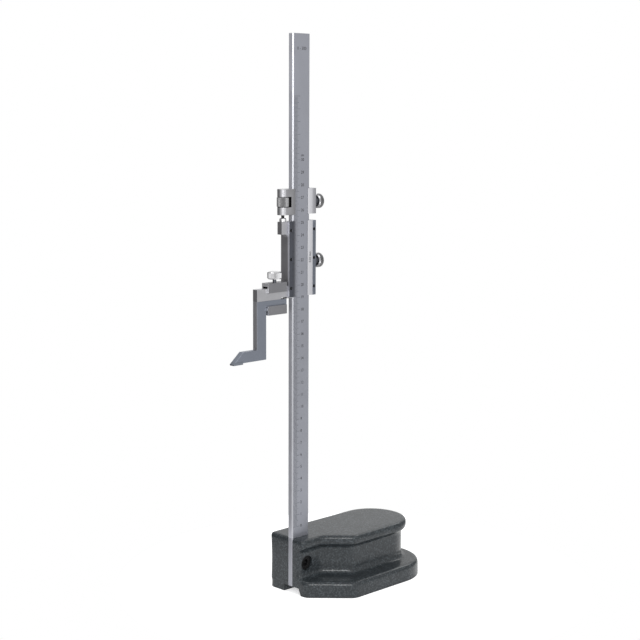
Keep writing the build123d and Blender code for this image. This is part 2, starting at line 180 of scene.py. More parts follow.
# The camera sees white all round, and metal sees it where the backdrop stands.
path = add_node(sky, "ShaderNodeLightPath").outputs
mirrored = calculate(sky, "MAXIMUM", path["Is Glossy Ray"], path["Is Transmission Ray"])
mirrored = calculate(sky, "MULTIPLY", mirrored, backdrop_side)
strength = add_node(sky, "ShaderNodeMix", data_type="FLOAT")
link(sky, calculate(sky, "MAXIMUM", path["Is Camera Ray"], mirrored), strength.inputs["Factor"])
link(sky, level, strength.inputs["A"])
strength.inputs["B"].default_value = 1.0
background = add_node(sky, "ShaderNodeBackground", Color=white)
link(sky, strength.outputs["Result"], background.inputs["Strength"])
out = add_node(sky, "ShaderNodeOutputWorld")
link(sky, background.outputs["Background"], out.inputs["Surface"])
print("world lobes:", [name for name, *_ in lobes])

# %% Lamps
lamp_target = Vector((0, 0, 0.10))    # metres, above the base
lamps = [
    # name, place, width, height and power
    ("soft_box", (-0.85, -0.95, 0.60), 0.40, 0.40, 6.2),
    ("side_box", (0.05, -1.05, 0.55), 0.90, 0.90, 1.9),
    ("top_lamp", (-0.15, 0.30, 1.15), 0.35, 0.35, 3.0),
    ("back_lamp", (0.90, 0.27, 0.85), 0.30, 0.30, 1.2),
]
for name, place, width, height, power in lamps:
    light = bpy.data.lights.new(name, "AREA")
    light.shape = "RECTANGLE"
    light.size = width
    light.size_y = height
    light.energy = power
    lamp = bpy.data.objects.new(name, light)
    lamp.location = place
    lamp.rotation_euler = (lamp_target - lamp.location).to_track_quat("-Z", "Y").to_euler()
    lamp.visible_camera = False
    bpy.context.scene.collection.objects.link(lamp)
print("lamps:", [name for name, *_ in lamps])

# %% Floor
floor_radius = 0.20
floor_grey = (0.80, 0.80, 0.80, 1.0)
floor_glow = 0.50         # added where the floor is seen or mirrored, so that it reads as white
floor_mesh = bpy.data.meshes.new("floor")
bm = bmesh.new()
bmesh.ops.create_circle(bm, cap_ends=True, segments=96, radius=floor_radius)
bm.to_mesh(floor_mesh)
bm.free()
floor = bpy.data.objects.new("floor", floor_mesh)
bpy.context.scene.collection.objects.link(floor)
floor_material = bpy.data.materials.new("pale_floor")
floor_material.use_nodes = True
tree = floor_material.node_tree
tree.nodes.clear()
diffuse = add_node(tree, "ShaderNodeBsdfDiffuse", Color=floor_grey)
glow = add_node(tree, "ShaderNodeEmission", Color=white)
path = add_node(tree, "ShaderNodeLightPath").outputs
seen = calculate(tree, "MAXIMUM", path["Is Camera Ray"], path["Is Glossy Ray"])
seen = calculate(tree, "MAXIMUM", seen, path["Is Transmission Ray"])
link(tree, calculate(tree, "MULTIPLY", seen, floor_glow), glow.inputs["Strength"])
both = add_node(tree, "ShaderNodeAddShader")
link(tree, diffuse.outputs["BSDF"], both.inputs[0])
link(tree, glow.outputs["Emission"], both.inputs[1])
out = add_node(tree, "ShaderNodeOutputMaterial")
link(tree, both.outputs["Shader"], out.inputs["Surface"])
floor_mesh.materials.append(floor_material)
print("floor radius", floor_radius, "m")

# %% [markdown]
# ## Shared surface effects
# Three effects turn up on many pieces, so each is one node group with its own inputs:
# the dimpled skin of hammer paint, the fine scratches that a grinding wheel leaves, and
# the faint clouds of handling that dull a polished face. The groups only put out
# numbers, and the materials decide what to do with them.

# %% Group: hammer paint
def new_group(name, inputs, outputs):
    """An empty shader group with float inputs and outputs."""
    group = bpy.data.node_groups.new(name, "ShaderNodeTree")
    for label, value in inputs:
        socket = group.interface.new_socket(label, in_out="INPUT", socket_type="NodeSocketFloat")
        socket.default_value = value
    for label in outputs:
        group.interface.new_socket(label, in_out="OUTPUT", socket_type="NodeSocketFloat")
    return group, add_node(group, "NodeGroupInput"), add_node(group, "NodeGroupOutput")


dimples_per_m = 700.0
wobble_per_m = 900.0      # a finer noise, which keeps the dimples from lining up
wobble_reach = 0.0012
fleck_core = 0.22         # a fleck fades from its core to its rim, as shares of a dimple
fleck_rim = 0.62
patches_per_m = 260.0     # where flecks are strong or weak
weakest_patch = 0.25
hammer, hammer_in, hammer_out = new_group(
    "hammer_paint", [("Dimples per m", dimples_per_m)], ["Fleck", "Height"]
)
place = add_node(hammer, "ShaderNodeTexCoord")
wobble = add_node(hammer, "ShaderNodeTexNoise", Scale=wobble_per_m, Detail=2.0)
link(hammer, place.outputs["Object"], wobble.inputs["Vector"])
shift = add_node(hammer, "ShaderNodeVectorMath", operation="SCALE", Scale=wobble_reach)
link(hammer, wobble.outputs["Color"], shift.inputs[0])
moved = add_node(hammer, "ShaderNodeVectorMath", operation="ADD")
link(hammer, place.outputs["Object"], moved.inputs[0])
link(hammer, shift.outputs["Vector"], moved.inputs[1])
cells = add_node(hammer, "ShaderNodeTexVoronoi", feature="SMOOTH_F1", Smoothness=0.6)
link(hammer, moved.outputs["Vector"], cells.inputs["Vector"])
link(hammer, hammer_in.outputs["Dimples per m"], cells.inputs["Scale"])
fleck = remap(hammer, cells.outputs["Distance"], fleck_rim, fleck_core)
patch = add_node(hammer, "ShaderNodeTexNoise", Scale=patches_per_m, Detail=3.0)
link(hammer, place.outputs["Object"], patch.inputs["Vector"])
strong = remap(hammer, patch.outputs["Fac"], 0.35, 0.65, low=weakest_patch, way="LINEAR")
link(hammer, calculate(hammer, "MULTIPLY", fleck, strong), hammer_out.inputs["Fleck"])
link(hammer, cells.outputs["Distance"], hammer_out.inputs["Height"])
print("hammer paint group has", len(hammer.nodes), "nodes")

# %% Group: grinding scratches
grind, grind_in, grind_out = new_group(
    "grinding", [("Across", 6000.0), ("Along", 120.0), ("Along axis", 2.0)], ["Line", "Height"]
)
place = add_node(grind, "ShaderNodeTexCoord")
split = add_node(grind, "ShaderNodeSeparateXYZ")
link(grind, place.outputs["Object"], split.inputs["Vector"])
stretched = add_node(grind, "ShaderNodeCombineXYZ")
for index, axis in enumerate("XYZ"):
    on_axis = calculate(grind, "COMPARE", grind_in.outputs["Along axis"], index, 0.5)
    scale = add_node(grind, "ShaderNodeMix", data_type="FLOAT")
    link(grind, on_axis, scale.inputs["Factor"])
    link(grind, grind_in.outputs["Across"], scale.inputs["A"])
    link(grind, grind_in.outputs["Along"], scale.inputs["B"])
    scaled = calculate(grind, "MULTIPLY", split.outputs[axis], scale.outputs["Result"])
    link(grind, scaled, stretched.inputs[axis])
lines = add_node(grind, "ShaderNodeTexNoise", Scale=1.0, Detail=3.0, Roughness=0.65)
link(grind, stretched.outputs["Vector"], lines.inputs["Vector"])
link(grind, lines.outputs["Fac"], grind_out.inputs["Line"])
link(grind, lines.outputs["Fac"], grind_out.inputs["Height"])
print("grinding group has", len(grind.nodes), "nodes")

# %% Group: handling clouds
clouds, clouds_in, clouds_out = new_group("handling", [("Clouds per m", 60.0)], ["Cloud"])
place = add_node(clouds, "ShaderNodeTexCoord")
haze = add_node(clouds, "ShaderNodeTexNoise", Detail=4.0, Roughness=0.55)
link(clouds, place.outputs["Object"], haze.inputs["Vector"])
link(clouds, clouds_in.outputs["Clouds per m"], haze.inputs["Scale"])
link(clouds, remap(clouds, haze.outputs["Fac"], 0.35, 0.70), clouds_out.inputs["Cloud"])
print("handling group has", len(clouds.nodes), "nodes")

# %% [markdown]
# ## The finishes
# The steel pieces differ in small ways. The scale has satin chrome, the slider's front
# is ground, its edges are only milled and are given darker steel, partly as painted shade,
# the plates are darker, and the thumb screws are bright. A few more faces get painted
# shade or painted light in their steel. One function writes them all, from a colour, a
# roughness and how strong the scratches and clouds are. The paint and the black parts
# have their own recipes.

# %% Metal finish
line_share = 0.6          # how much of a metal's pattern is scratches
cloud_share = 0.4         # and how much is handling
scratch_depth = 0.0001    # metres, for the bump


def start_material(name):
    """A new material with an empty tree, a Principled shader and an output."""
    material = bpy.data.materials.new(name)
    material.use_nodes = True
    tree = material.node_tree
    tree.nodes.clear()
    shader = add_node(tree, "ShaderNodeBsdfPrincipled")
    out = add_node(tree, "ShaderNodeOutputMaterial")
    link(tree, shader.outputs["BSDF"], out.inputs["Surface"])
    return material, tree, shader


def mix_colours(tree, factor, dark, light):
    """A colour between two, by a factor socket."""
    mix = add_node(tree, "ShaderNodeMix", data_type="RGBA")
    link(tree, factor, mix.inputs["Factor"])
    mix.inputs["A"].default_value = (*dark, 1.0)
    mix.inputs["B"].default_value = (*light, 1.0)
    return mix.outputs["Result"]


def metal(name, colour, roughness, scratch=0.10, cloud=0.10, axis=2, across=6000.0, bump=0.02, spread=0.0):
    """Ground or plated metal, with scratches along one axis and clouds of handling.

    A spread smears reflections along the piece, as fine grinding does.
    """
    material, tree, shader = start_material(name)
    lines = add_node(tree, "ShaderNodeGroup", node_tree=grind)
    lines.inputs["Across"].default_value = across
    lines.inputs["Along axis"].default_value = axis
    haze = add_node(tree, "ShaderNodeGroup", node_tree=clouds)
    softened = calculate(tree, "MULTIPLY", haze.outputs["Cloud"], cloud_share)
    worn = calculate(tree, "MULTIPLY_ADD", lines.outputs["Line"], line_share, softened)
    dark = [c * (1 - scratch) for c in colour]
    light = [min(1.0, c * (1 + scratch)) for c in colour]
    link(tree, mix_colours(tree, worn, dark, light), shader.inputs["Base Color"])
    rough = remap(tree, worn, 0, 1, roughness * (1 - cloud), roughness * (1 + cloud), "LINEAR")
    link(tree, rough, shader.inputs["Roughness"])
    shader.inputs["Metallic"].default_value = 1.0
    if spread:
        shader.inputs["Anisotropic"].default_value = spread
        tangent = add_node(tree, "ShaderNodeTangent", direction_type="RADIAL", axis="Z")
        link(tree, tangent.outputs["Tangent"], shader.inputs["Tangent"])
    relief = add_node(tree, "ShaderNodeBump", Strength=bump, Distance=scratch_depth)
    link(tree, lines.outputs["Height"], relief.inputs["Height"])
    link(tree, relief.outputs["Normal"], shader.inputs["Normal"])
    return material


steels = {
    # name: colour, roughness and what differs from the plain case
    "satin_chrome": ((0.35, 0.36, 0.40), 0.52, dict(scratch=0.03, bump=0.01)),
    "ground_edge": ((0.51, 0.515, 0.56), 0.44, dict(scratch=0.04, bump=0.01, spread=0.85)),
    # painted shade: the beam's narrow faces where it stands in the slot are darker steel
    "slot_painted_shade": ((0.31, 0.315, 0.345), 0.46, dict(scratch=0.04, bump=0.01)),
    "bevel_steel": ((0.38, 0.385, 0.41), 0.40, dict(scratch=0.04, bump=0.01)),
    "ground_steel": ((0.385, 0.385, 0.40), 0.40, dict(scratch=0.04)),
    "carriage_flat": ((0.34, 0.34, 0.36), 0.44, dict(scratch=0.04)),
    "jaw_steel": ((0.51, 0.51, 0.53), 0.44, dict(scratch=0.22, across=1800.0)),
    # the slider's sides: duller milled steel, darker partly as painted shade
    "milled_steel_and_painted_shade": ((0.31, 0.305, 0.32), 0.44, dict(bump=0.03, across=4000.0)),
    "satin_plate": ((0.19, 0.205, 0.24), 0.42, dict(scratch=0.05, bump=0.01)),
    "dark_plate": ((0.10, 0.106, 0.125), 0.42, dict(scratch=0.05, bump=0.01)),
    "dark_bevel": ((0.20, 0.205, 0.23), 0.42, dict(scratch=0.05, bump=0.01)),
    "plate_bevel": ((0.43, 0.43, 0.45), 0.48, dict(scratch=0.03, bump=0.0)),
    "clamp_steel": ((0.265, 0.265, 0.28), 0.42, dict(scratch=0.08, axis=0)),
    # painted light: the scriber clamp's left end faces are much lighter steel than its front
    "clamp_end_painted_light": ((0.72, 0.72, 0.74), 0.44, dict(scratch=0.06)),
    "scriber_steel": ((0.245, 0.265, 0.31), 0.44, dict(scratch=0.05, axis=0)),
    "scriber_edge": ((0.41, 0.41, 0.43), 0.46, dict(scratch=0.06)),
    "hard_tip": ((0.24, 0.26, 0.30), 0.40, dict(scratch=0.05, axis=0)),
    "bright_steel": ((0.60, 0.60, 0.61), 0.24, dict(scratch=0.04, bump=0.01)),
    "chamfer_steel": ((0.32, 0.32, 0.33), 0.38, dict(scratch=0.04, bump=0.01)),
    "knurled_steel": ((0.24, 0.24, 0.245), 0.46, dict(scratch=0.08)),
    "shadow_steel": ((0.12, 0.125, 0.14), 0.40, dict()),
    # near-black steel: the feed screw and the clamp shoe, and painted shade on the walls of the carriage's
    # window and inside the scriber clamp
    "dark_steel": ((0.03, 0.03, 0.03), 0.50, dict(scratch=0.15, cloud=0.2)),
    "brass": ((0.62, 0.45, 0.20), 0.34, dict()),
}
finishes = {}
for name, (colour, roughness, rest) in steels.items():
    finishes[name] = metal(name, colour, roughness, **rest)
print("metal finishes:", len(finishes))

# %% Black oxide, engraving paint and hammer paint
def black_oxide():
    """Thin black oxide on small screws: dark, a little glossy, worn by the driver."""
    material, tree, shader = start_material("black_oxide")
    haze = add_node(tree, "ShaderNodeGroup", node_tree=clouds)
    haze.inputs["Clouds per m"].default_value = 900.0
    colour = mix_colours(tree, haze.outputs["Cloud"], (0.003, 0.003, 0.003), (0.010, 0.010, 0.011))
    link(tree, colour, shader.inputs["Base Color"])
    link(tree, remap(tree, haze.outputs["Cloud"], 0, 1, 0.32, 0.5, "LINEAR"), shader.inputs["Roughness"])
    shader.inputs["Specular IOR Level"].default_value = 0.15
    return material


def engraving_paint(name, dark, light):
    """Matt paint rubbed into engraved lines: a little uneven."""
    material, tree, shader = start_material(name)
    haze = add_node(tree, "ShaderNodeGroup", node_tree=clouds)
    haze.inputs["Clouds per m"].default_value = 400.0
    link(tree, mix_colours(tree, haze.outputs["Cloud"], dark, light), shader.inputs["Base Color"])
    shader.inputs["Roughness"].default_value = 0.7
    return material


hammer_dark = (0.0205, 0.0245, 0.0275)
hammer_light = (0.057, 0.066, 0.073)
fleck_metal = 0.10        # how metallic the flecks are
dimple_depth = 0.0003


def hammer_paint():
    """Grey hammer paint: dimples with a light fleck in each, under a thin clear gloss."""
    material, tree, shader = start_material("hammer_paint")
    skin = add_node(tree, "ShaderNodeGroup", node_tree=hammer)
    colour = mix_colours(tree, skin.outputs["Fleck"], hammer_dark, hammer_light)
    link(tree, colour, shader.inputs["Base Color"])
    shader.inputs["Roughness"].default_value = 0.42
    shader.inputs["Specular IOR Level"].default_value = 0.05
    shader.inputs["Coat Weight"].default_value = 0.48
    shader.inputs["Coat Roughness"].default_value = 0.17
    link(tree, calculate(tree, "MULTIPLY", skin.outputs["Fleck"], fleck_metal), shader.inputs["Metallic"])
    relief = add_node(tree, "ShaderNodeBump", Strength=0.26, Distance=dimple_depth)
    link(tree, skin.outputs["Height"], relief.inputs["Height"])
    link(tree, relief.outputs["Normal"], shader.inputs["Normal"])
    link(tree, relief.outputs["Normal"], shader.inputs["Coat Normal"])
    return material


finishes["black_oxide"] = black_oxide()
finishes["scale_black"] = engraving_paint("scale_black", (0.02, 0.02, 0.022), (0.045, 0.045, 0.05))
finishes["hammer_paint"] = hammer_paint()
print("all finishes:", sorted(finishes))

# %% [markdown]
# ## Setting a piece in place
# Every new piece ends the same way: its mesh is moved from millimetres at the datum
# corner into the frame, its faces are told to shade smoothly except across real edges,
# it gets its finish, and it rides on the body that carries it.

# %% Placing helpers
sharp_angle = math.radians(35.0)    # an edge that turns by more than this stays crisp


def settle(bm, name, body, finish, matrix=to_frame):
    """Turn a finished bmesh into a piece that rides on a body."""
    bmesh.ops.transform(bm, matrix=matrix, verts=bm.verts)
    mesh = bpy.data.meshes.new(name)
    bm.to_mesh(mesh)
    bm.free()
    mesh.shade_smooth()
    mesh.set_sharp_from_angle(angle=sharp_angle)
    return place_mesh(mesh, name, body, finish)


def place_mesh(mesh, name, body, finish):
    """Make a finished mesh a piece that rides on a body."""
    mesh.name = name
    mesh.materials.append(finishes[finish])
    piece = bpy.data.objects.new(name, mesh)
    bpy.context.scene.collection.objects.link(piece)
    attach(piece, body)
    print(f"{name}: {len(mesh.polygons)} faces on {body}")
    return piece


def baked(start, *modifiers):
    """A mesh made from another by modifiers. Each is a kind and its settings."""
    holder = bpy.data.objects.new("working", start)
    bpy.context.scene.collection.objects.link(holder)
    for kind, settings in modifiers:
        modifier = holder.modifiers.new(kind, kind)
        for key, value in settings.items():
            setattr(modifier, key, value)
    view = bpy.context.evaluated_depsgraph_get()
    mesh = bpy.data.meshes.new_from_object(holder.evaluated_get(view))
    bpy.data.objects.remove(holder)
    return mesh


def mesh_of(bm):
    """A plain mesh from a bmesh, which is then freed."""
    mesh = bpy.data.meshes.new("working")
    bm.to_mesh(mesh)
    bm.free()
    return mesh


# %% [markdown]
# ## The base casting
# The foot is cast iron, poured in sand. Sand can't hold a sharp corner, so every edge of
# a casting is round and every hollow has a fillet. Bevels alone give even, machined
# looking roundings. Here the foot, waist and flange are raised as simple shells from
# their plans, then a voxel remesh fuses them into one skin and a few smoothing passes
# melt the edges and fill the hollows, as the sand did. The far side bows inwards by a
# millimetre, as a wall may when the iron cools. The machined places, which are the datum
# face, the beam's slot, the relief under it and the set screw's hole, are cut afterwards,
# so they stay crisp.

# %% Plans of the casting, in millimetres from the datum corner
base_low, base_high = box_mm("base_casting")
foot_near, foot_far = base_low.y, base_high.y
foot_end = base_high.x
base_height = base_high.z
foot_height = 13.4
foot_nose = -15.8         # near corner of the foot's end face
foot_end_corner = 5.2     # radii that round the corners in plan
foot_corner = 9.0
head_end_corner = 3.4
neck_corner = 5.0
shoulder_corner = 4.0
least_corner = 0.5
far_corner_growth = 2.8   # a hollow's shell rounds its far corner by more than it grows
half_shoulder = math.radians(22.5)
head_width = 59.0
head_near = foot_far - head_width
head_setback = 5.0
neck_edge = -12.2
neck_length = 22.8
flange_thickness = 8.4
waist_inset = 4.5
far_bow = 1.0             # how far the far side bows inwards at mid height
below = -6.0              # the foot starts below the datum face, which is cut later
merge_gap = 0.001         # points nearer than this are one


def plan_face(bm, corners, z):
    """A face from its corners, each with the radius that rounds it in plan."""
    ring = [bm.verts.new((x, y, z)) for x, y, _ in corners]
    face = bm.faces.new(ring)
    for i, (vert, (_, _, radius)) in enumerate(zip(ring, corners)):
        before = Vector(corners[i - 1][:2]) - vert.co.xy
        after = Vector(corners[(i + 1) % len(corners)][:2]) - vert.co.xy
        turn = math.pi - before.angle(after)
        bmesh.ops.bevel(
            bm, geom=[vert], offset=radius * math.tan(turn / 2), offset_type="OFFSET", affect="VERTICES",
            segments=max(4, int(radius)), profile=0.5, material=-1, clamp_overlap=False,
        )
    bmesh.ops.remove_doubles(bm, verts=bm.verts[:], dist=merge_gap)
    return [f for f in bm.faces if abs(f.calc_center_median().z - z) < merge_gap][-1]


def foot_corners():
    """Foot in plan: end face, one 45 degree corner and a round end."""
    half = (foot_far - foot_near) / 2
    return [
        (0, foot_far, foot_end_corner), (0, foot_nose, foot_end_corner),
        (foot_nose - foot_near, foot_near, foot_corner),
        (foot_end, foot_near, half), (foot_end, foot_far, half),
    ]


def head_corners(near_inset, grown=0.0):
    """Head in plan: narrow neck beside the beam, 45 degree shoulder, round end.

    All but its far side grows where a hollow fillet needs its widest plan.
    """
    near = head_near + near_inset - grown
    neck = neck_edge + near_inset - grown
    half = (foot_far - near) / 2
    end = foot_end - head_setback - head_width / 2 + half
    bend = neck_length + (near_inset - grown) * math.tan(half_shoulder)
    return [
        (-grown, foot_far, head_end_corner + far_corner_growth * grown),
        (-grown, neck, head_end_corner + grown), (bend, neck, max(least_corner, neck_corner - grown)),
        (bend + neck - near, near, shoulder_corner + grown), (end, near, half), (end, foot_far, half),
    ]


print("foot", round(foot_end, 1), "by", round(foot_far - foot_near, 1), "mm")


# %% Raise the shells
def raise_shell(corners, z, steps, up=1):
    """A closed shell from a plan: each step is an inset and a rise of its last face."""
    bm = bmesh.new()
    start = plan_face(bm, corners, z)
    grown = bmesh.ops.extrude_face_region(bm, geom=[start], use_keep_orig=True)
    moved = [v for v in grown["geom"] if isinstance(v, bmesh.types.BMVert)]
    bmesh.ops.translate(bm, verts=moved, vec=(0, 0, up * steps[0][1]))
    last = [f for f in grown["geom"] if isinstance(f, bmesh.types.BMFace)][0]
    bmesh.ops.recalc_face_normals(bm, faces=bm.faces[:])
    for inset, rise in steps[1:]:
        bmesh.ops.inset_region(bm, faces=[last], thickness=inset, depth=rise, use_even_offset=True)
    return bm


def arc_steps(first_rise, radius, pieces, hollow):
    """A plain rise, then a quarter circle of insets and rises: a hollow fillet or a round edge."""
    steps = [(0, first_rise)]
    for i in range(pieces):
        a, b = (math.radians(90 * k / pieces) for k in (i, i + 1))
        if hollow:
            steps.append((radius * (math.sin(b) - math.sin(a)), radius * (math.cos(a) - math.cos(b))))
        else:
            steps.append((radius * (math.cos(a) - math.cos(b)), radius * (math.sin(b) - math.sin(a))))
    return steps


foot_round = 3.4
flange_round = 2.4
foot_hollow = 4.0
flange_hollow = 3.0
sunk = 1.0                # how deep a hollow's shell starts inside the foot or the flange
flange_floor = base_height - flange_thickness
flange_middle = base_height - flange_thickness / 2
waist_rise = flange_floor + flange_thickness / 2 - foot_height
round_foot = arc_steps(foot_height - foot_round - below, foot_round, 5, False)
round_flange = arc_steps(flange_thickness / 2 - flange_round, flange_round, 4, False)
hollow_at_foot = arc_steps(sunk, foot_hollow, 6, True)
hollow_at_flange = arc_steps(sunk, flange_hollow, 5, True)
shells = [
    raise_shell(foot_corners(), below, round_foot),
    raise_shell(head_corners(waist_inset), foot_height / 2, [(0, waist_rise + foot_height / 2)]),
    raise_shell(head_corners(waist_inset, foot_hollow), foot_height - sunk, hollow_at_foot),
    raise_shell(head_corners(waist_inset, flange_hollow), flange_floor + sunk, hollow_at_flange, up=-1),
    raise_shell(head_corners(0), flange_middle, round_flange),
    raise_shell(head_corners(0), flange_middle, round_flange, up=-1),
]
casting = bmesh.new()
for shell in shells:
    for vert in shell.verts:
        vert.co.x = max(vert.co.x, 0)
    casting.from_mesh(mesh_of(shell))
bmesh.ops.recalc_face_normals(casting, faces=casting.faces[:])
print("casting shells:", len(shells), "with", len(casting.faces), "faces")

# %% Fuse, melt and wave the skin
voxel = 0.65
melt_passes = 12
wave_length = 14.0        # slow waviness of a sand-cast skin
wave_depth = 0.10
skin = baked(mesh_of(casting), ("REMESH", {"mode": "VOXEL", "voxel_size": voxel}))
casting = bmesh.new()
casting.from_mesh(skin)
for _ in range(melt_passes):
    bmesh.ops.smooth_vert(
        casting, verts=casting.verts, factor=0.5, use_axis_x=True, use_axis_y=True, use_axis_z=True,
    )
casting.normal_update()
for vert in casting.verts:
    height = 0.5 + 0.5 * noise.noise(vert.co / wave_length)
    vert.co -= vert.normal * wave_depth * height
    bow = math.sin(math.pi * min(1, max(0, vert.co.z / base_height)))
    vert.co.y -= far_bow * bow * max(0, vert.co.y / foot_far)
print("fused casting:", len(casting.faces), "faces")

# %% Machine the datum face, the slot, the relief and the screw hole
relief_depth = 5.8
relief_near = -7.5
relief_far = 9.8
relief_length = 44.0
relief_slope = 2.5        # how far the relief's near wall leans out at its foot
past = 5.0                # how far a cutter reaches out of the casting
drill_length = 30.0
screw_low, screw_high = box_mm("beam_lock_screw")
hole_radius = (screw_high.x - screw_low.x) / 2
hole_x = (screw_high.x + screw_low.x) / 2
hole_z = (screw_high.z + screw_low.z) / 2


def cutter_box(low, high):
    """A block between two corners."""
    bm = bmesh.new()
    bmesh.ops.create_cube(bm, size=1)
    size = Vector(high) - Vector(low)
    middle = (Vector(high) + Vector(low)) / 2
    bmesh.ops.transform(bm, matrix=Matrix.Translation(middle) @ Matrix.Diagonal((*size, 1)), verts=bm.verts)
    return bm


everything = casting.verts[:] + casting.edges[:] + casting.faces[:]
cut = bmesh.ops.bisect_plane(
    casting, geom=everything, plane_co=(0, 0, 0), plane_no=(0, 0, -1), clear_outer=True,
)
rim = [e for e in cut["geom_cut"] if isinstance(e, bmesh.types.BMEdge)]
bmesh.ops.holes_fill(casting, edges=rim)
slot_cutter = cutter_box((-past, 0, -past), (beam_box[1].x, beam_box[1].y, base_height + past))
relief_cutter = cutter_box((-past, relief_near, -past), (relief_length, relief_far, relief_depth))
for vert in relief_cutter.verts:
    if vert.co.y < 0 and vert.co.z < 0:
        vert.co.y -= relief_slope * (relief_depth + past) / relief_depth
hole_cutter = bmesh.new()
hole_place = Matrix.Translation((hole_x, -drill_length / 2, hole_z))
bmesh.ops.create_cone(
    hole_cutter, cap_ends=True, segments=64, radius1=hole_radius, radius2=hole_radius, depth=drill_length,
    matrix=hole_place @ Matrix.Rotation(math.radians(90), 4, "X"),
)
base_mesh = mesh_of(casting)
for cutter in (slot_cutter, relief_cutter, hole_cutter):
    tool = bpy.data.objects.new("cutter", mesh_of(cutter))
    bpy.context.scene.collection.objects.link(tool)
    taken_away = {"operation": "DIFFERENCE", "object": tool, "solver": "MANIFOLD"}
    base_mesh = baked(base_mesh, ("BOOLEAN", taken_away))
    bpy.data.objects.remove(tool)
casting = bmesh.new()
casting.from_mesh(base_mesh)
base = settle(casting, "base_body", "base", "hammer_paint")
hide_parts("base_casting")

# %% [markdown]
# ## Machined pieces with broken edges
# No workshop leaves a steel edge sharp: a file or a stone takes it down by a fraction of
# a millimetre, and that narrow facet catches the light. It is most of what tells steel
# from grey plastic. The machined pieces have the right shape already, so each is copied,
# its triangles are merged into clean faces, and a Bevel modifier breaks its edges. Then
# Weighted Normal keeps the large faces flat in the light, so that only the broken edges
# shade round. Faces that were ground, milled or plated apart get their own finish, picked
# by where they look and lie. Some of these are painted light: the beam's foot in the slot,
# the carriage's window and the inside of the scriber clamp get darker steel as painted
# shade, the slider's sides partly so, and the clamp's left end gets lighter steel as
# painted light.

# %% Broken edges
weld_gap = 0.000001       # metres: the corners that triangles share
flat_angle = math.radians(1.0)


def machined(node, body, finish, width, others=(), split_height=0):
    """A copy of a machined node with broken edges. Others are finishes with a face test.

    A split height runs an edge round the piece there, so that two finishes can meet.
    """
    bm = bmesh.new()
    bm.from_mesh(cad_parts[node].data)
    bmesh.ops.remove_doubles(bm, verts=bm.verts[:], dist=weld_gap)
    bmesh.ops.dissolve_limit(bm, angle_limit=flat_angle, verts=bm.verts[:], edges=bm.edges[:])
    for face in bm.faces:
        face.smooth = True
    if split_height:
        everything = bm.verts[:] + bm.edges[:] + bm.faces[:]
        bmesh.ops.bisect_plane(bm, geom=everything, plane_co=(0, 0, split_height * MM), plane_no=(0, 0, 1))
    broken = {
        "width": width * MM, "segments": 2, "limit_method": "ANGLE", "angle_limit": sharp_angle,
        "profile": 0.5, "use_clamp_overlap": True,
    }
    flat = {"mode": "FACE_AREA", "weight": 60, "keep_sharp": True}
    mesh = baked(mesh_of(bm), ("BEVEL", broken), ("WEIGHTED_NORMAL", flat))
    piece = place_mesh(mesh, node + "_finished", body, finish)
    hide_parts(node)
    refinish(piece, others)
    return piece


def refinish(piece, others):
    """Give some faces another finish, by a test of their normal and middle in millimetres."""
    for name, test in others:
        piece.data.materials.append(finishes[name])
        index = len(piece.data.materials) - 1
        for face in piece.data.polygons:
            if test(face.normal, (face.center - corner) / MM):
                face.material_index = index


clearly = 0.7             # a normal with this much along an axis looks that way
clamp_wall = 0.5          # faces nearer the clamp's outside than these are outer ones
jaw_wall = 1.0
window_right = -3.0       # the carriage's window lies left of this
window_wall = 4.0         # and further than this from its top and foot
bevel_reach = 4.0         # how far inside the beam's right edge the right bevel may start


def looks_aside(normal, middle):
    """A face that looks left, right, down or back rather than to the front or up; on the slider it gets
    darker steel, partly a milled finish and partly painted shade.
    """
    return normal.y > -clearly and normal.z < clearly


def looks_left_or_right(normal, middle):
    """A narrow edge face."""
    return abs(normal.x) > 0.5


clamp_low, clamp_high = box_mm("scriber_clamp")
carriage_low, carriage_high = box_mm("carriage_frame")


def inside_clamp(normal, middle):
    """The clamp's inner faces, behind and above the arm, given near-black steel as painted shade."""
    between_sides = clamp_low.y + clamp_wall < middle.y < clamp_high.y - clamp_wall
    between_jaws = clamp_low.z + jaw_wall < middle.z < clamp_high.z - jaw_wall
    return between_sides and between_jaws and (normal.z < -clearly or normal.y < -clearly)


def inside_window(normal, middle):
    """The walls of the window that the feed nut turns in, given near-black steel as painted shade."""
    between_walls = carriage_low.z + window_wall < middle.z < carriage_high.z - window_wall
    return middle.x < window_right and between_walls and normal.y > -clearly


def beam_bevel(normal, middle):
    """The bevels along the beam's front edges."""
    return 0.3 < abs(normal.x) < 0.95 and normal.y < -0.3


def looks_left(normal, middle):
    """A face that looks to the left, along the arm."""
    return normal.x < -clearly


def right_bevel(normal, middle):
    """The bevel beside the carriage's right flat."""
    return normal.x < -0.1 and normal.y < -0.4 and middle.x > beam_box[1].x - bevel_reach


def right_flat(normal, middle):
    """The flat front of the carriage on the right of the beam."""
    return normal.y < -0.9 and middle.x > beam_box[1].x


def in_the_slot(normal, middle):
    """The narrow faces where the beam stands in the base, given darker steel as painted shade."""
    return abs(normal.x) > 0.5 and middle.z < base_height


# The beam's narrow faces in the slot get darker steel: painted shade.
machined("beam", "base", "satin_chrome", 0.08,
         [("ground_edge", looks_left_or_right), ("bevel_steel", beam_bevel), ("slot_painted_shade", in_the_slot)],
         split_height=base_height)
# The slider's sides are darker milled steel, partly painted shade.
machined("slider_frame", "slider", "jaw_steel", 0.25, [("milled_steel_and_painted_shade", looks_aside)])
machined("vernier_plate", "slider", "dark_plate", 0.08,
         [("ground_edge", looks_left), ("dark_bevel", lambda normal, middle: normal.x > 0.1)])
machined("cover_plate", "slider", "satin_plate", 0.08,
         [("plate_bevel", lambda normal, middle: normal.x < -0.2 and normal.y < -0.5)])
for node in ("vernier_plate_screws", "cover_plate_screws"):
    machined(node, "slider", "black_oxide", 0.05)
machined("feed_screw", "slider", "dark_steel", 0.1)
